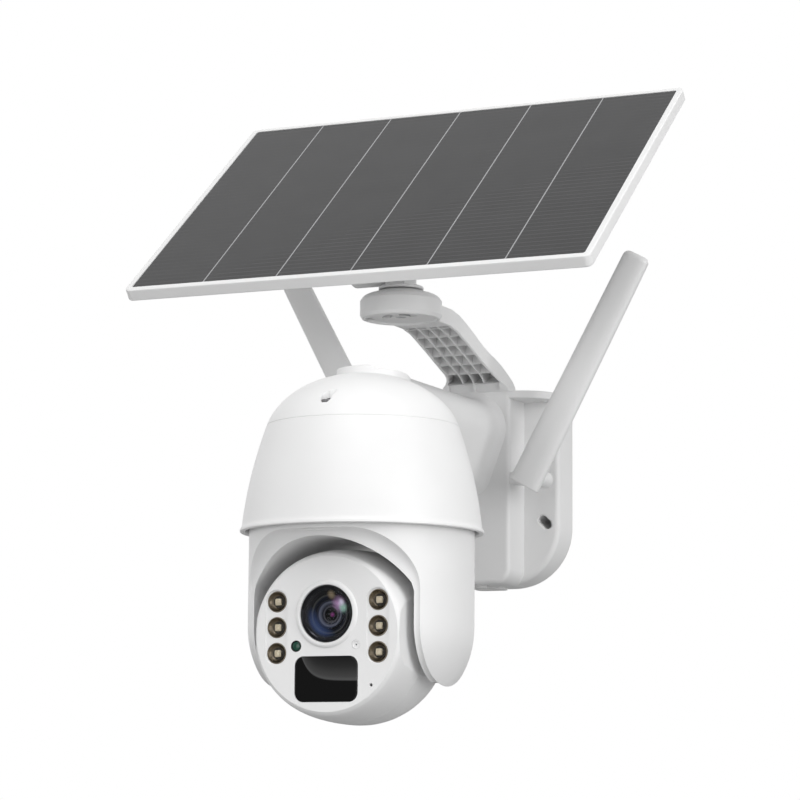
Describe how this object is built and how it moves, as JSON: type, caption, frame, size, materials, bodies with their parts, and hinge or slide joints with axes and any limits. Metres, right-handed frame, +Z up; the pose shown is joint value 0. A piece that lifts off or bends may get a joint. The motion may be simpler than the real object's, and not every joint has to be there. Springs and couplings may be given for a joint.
{
  "type": "solar-powered security camera",
  "caption": "Wall-mounted security camera: dome with panning yoke and tilting lens head on a bracket with folding antennas and a swivelling, tilting solar panel.",
  "frame": {"origin": "on the wall plane, at the centre of the pattern of wall screws", "axes": "+X to the camera's left-hand side seen from behind it, right in a front view; +Y into the wall; +Z up"},
  "size_m": [0.274, 0.2595, 0.3634],
  "materials": {
    "white_shell": "satin white moulded plastic",
    "white_part": "matt white moulded plastic",
    "black_part": "matt black moulded plastic",
    "black_gloss": "polished black window",
    "rubber": "soft black rubber",
    "steel": "zinc-plated steel",
    "brass": "plain turned brass",
    "board": "glass-fibre circuit board",
    "cell": "shrink-wrapped cell",
    "lens": "coated lens glass",
    "reflector": "bright reflector",
    "lamp": "clear lamp with a warm chip",
    "green_window": "dark green sensor window",
    "gear": "natural acetal",
    "panel_glass": "clear laminate",
    "cells": "dark silicon cells",
    "back_sheet": "pale back sheet"
  },
  "bodies": {
    "root": {"bracket_shell": "white_shell", "rear_plate": "white_part", "plate_seal": "rubber", "plate_screws": "steel", "battery_cells": "cell", "cell_holder": "black_part", "charge_board": "board", "port_cover": "white_part", "neck": "white_shell", "panel_arm": "white_shell", "arm_screws": "steel", "antenna_posts": "white_shell", "pivot_screws": "steel", "cap_skirt": "white_shell", "cap_top": "white_shell", "cap_screw": "steel", "chassis": "white_part", "pan_bush": "brass", "pan_motor": "steel", "main_board": "board", "speaker": "black_part"},
    "button": {"power_button": "white_part"},
    "pan_pinion": {"pan_pinion": "gear"},
    "yoke": {"yoke": "white_shell", "pan_gear": "gear", "pan_retainer": "steel", "arm_cover_left": "white_part", "arm_cover_right": "white_part", "tilt_stub": "steel", "tilt_gear": "gear", "tilt_bush": "brass"},
    "head": {"head_front": "white_shell", "head_rear": "white_shell", "tilt_axle": "steel", "lens_trim": "white_shell", "lens_barrel": "black_part", "lens_glass": "lens", "led_rings": "reflector", "led_lamps": "lamp", "led_board": "board", "pir_window": "black_gloss", "pir_sensor": "steel", "light_sensor": "green_window", "microphone": "white_part", "sensor_board": "board", "tilt_motor": "steel"},
    "tilt_pinion": {"tilt_pinion": "gear"},
    "antenna_left": {"antenna_left": "white_shell", "radiator_left": "brass"},
    "antenna_right": {"antenna_right": "white_shell", "radiator_right": "brass"},
    "swivel": {"swivel_base": "white_shell", "swivel_screw": "steel", "hinge_bolt": "steel"},
    "panel": {"panel_bracket": "white_shell", "panel_frame": "white_shell", "panel_glass": "panel_glass", "solar_cells": "cells", "panel_back": "back_sheet", "junction_box": "white_part"}
  },
  "joints": [
    {"name": "button_press", "type": "slide", "parent": "root", "child": "button", "axis": [0, 0, 1], "range_m": [0, 0.0012], "stiffness_N_per_m": 600, "springref_m": -0.001},
    {"name": "pan", "type": "hinge", "parent": "root", "child": "yoke", "pos_m": [0, -0.1945, 0], "axis": [0, 0, 1], "range_deg": [-177, 177]},
    {"name": "pan_pinion_spin", "type": "hinge", "parent": "root", "child": "pan_pinion", "pos_m": [-0.041, -0.1945, 0], "axis": [0, 0, 1], "range_deg": [-1034, 1034]},
    {"name": "tilt", "type": "hinge", "parent": "yoke", "child": "head", "pos_m": [0, -0.1945, -0.1055], "axis": [1, 0, 0], "range_deg": [-10, 90]},
    {"name": "tilt_pinion_spin", "type": "hinge", "parent": "head", "child": "tilt_pinion", "pos_m": [0.0285, -0.17965, -0.12035], "axis": [1, 0, 0], "range_deg": [-26, 226]},
    {"name": "antenna_left_fold", "type": "hinge", "parent": "root", "child": "antenna_left", "pos_m": [-0.0425, -0.06, -0.006], "axis": [0, 1, 0], "range_deg": [-60, 24]},
    {"name": "antenna_right_fold", "type": "hinge", "parent": "root", "child": "antenna_right", "pos_m": [0.0425, -0.06, -0.006], "axis": [0, 1, 0], "range_deg": [-24, 60]},
    {"name": "panel_swivel", "type": "hinge", "parent": "root", "child": "swivel", "pos_m": [0, -0.1463, 0.09], "axis": [0, 0, 1], "range_deg": [-25, 25]},
    {"name": "panel_tilt", "type": "hinge", "parent": "swivel", "child": "panel", "pos_m": [0, -0.1463, 0.108], "axis": [1, 0, 0], "range_deg": [-27, 31]}
  ],
  "couplings": [
    {"joint": "pan_pinion_spin", "follows": "pan", "ratio": -5.8333},
    {"joint": "tilt_pinion_spin", "follows": "tilt", "ratio": 2.5}
  ]
}
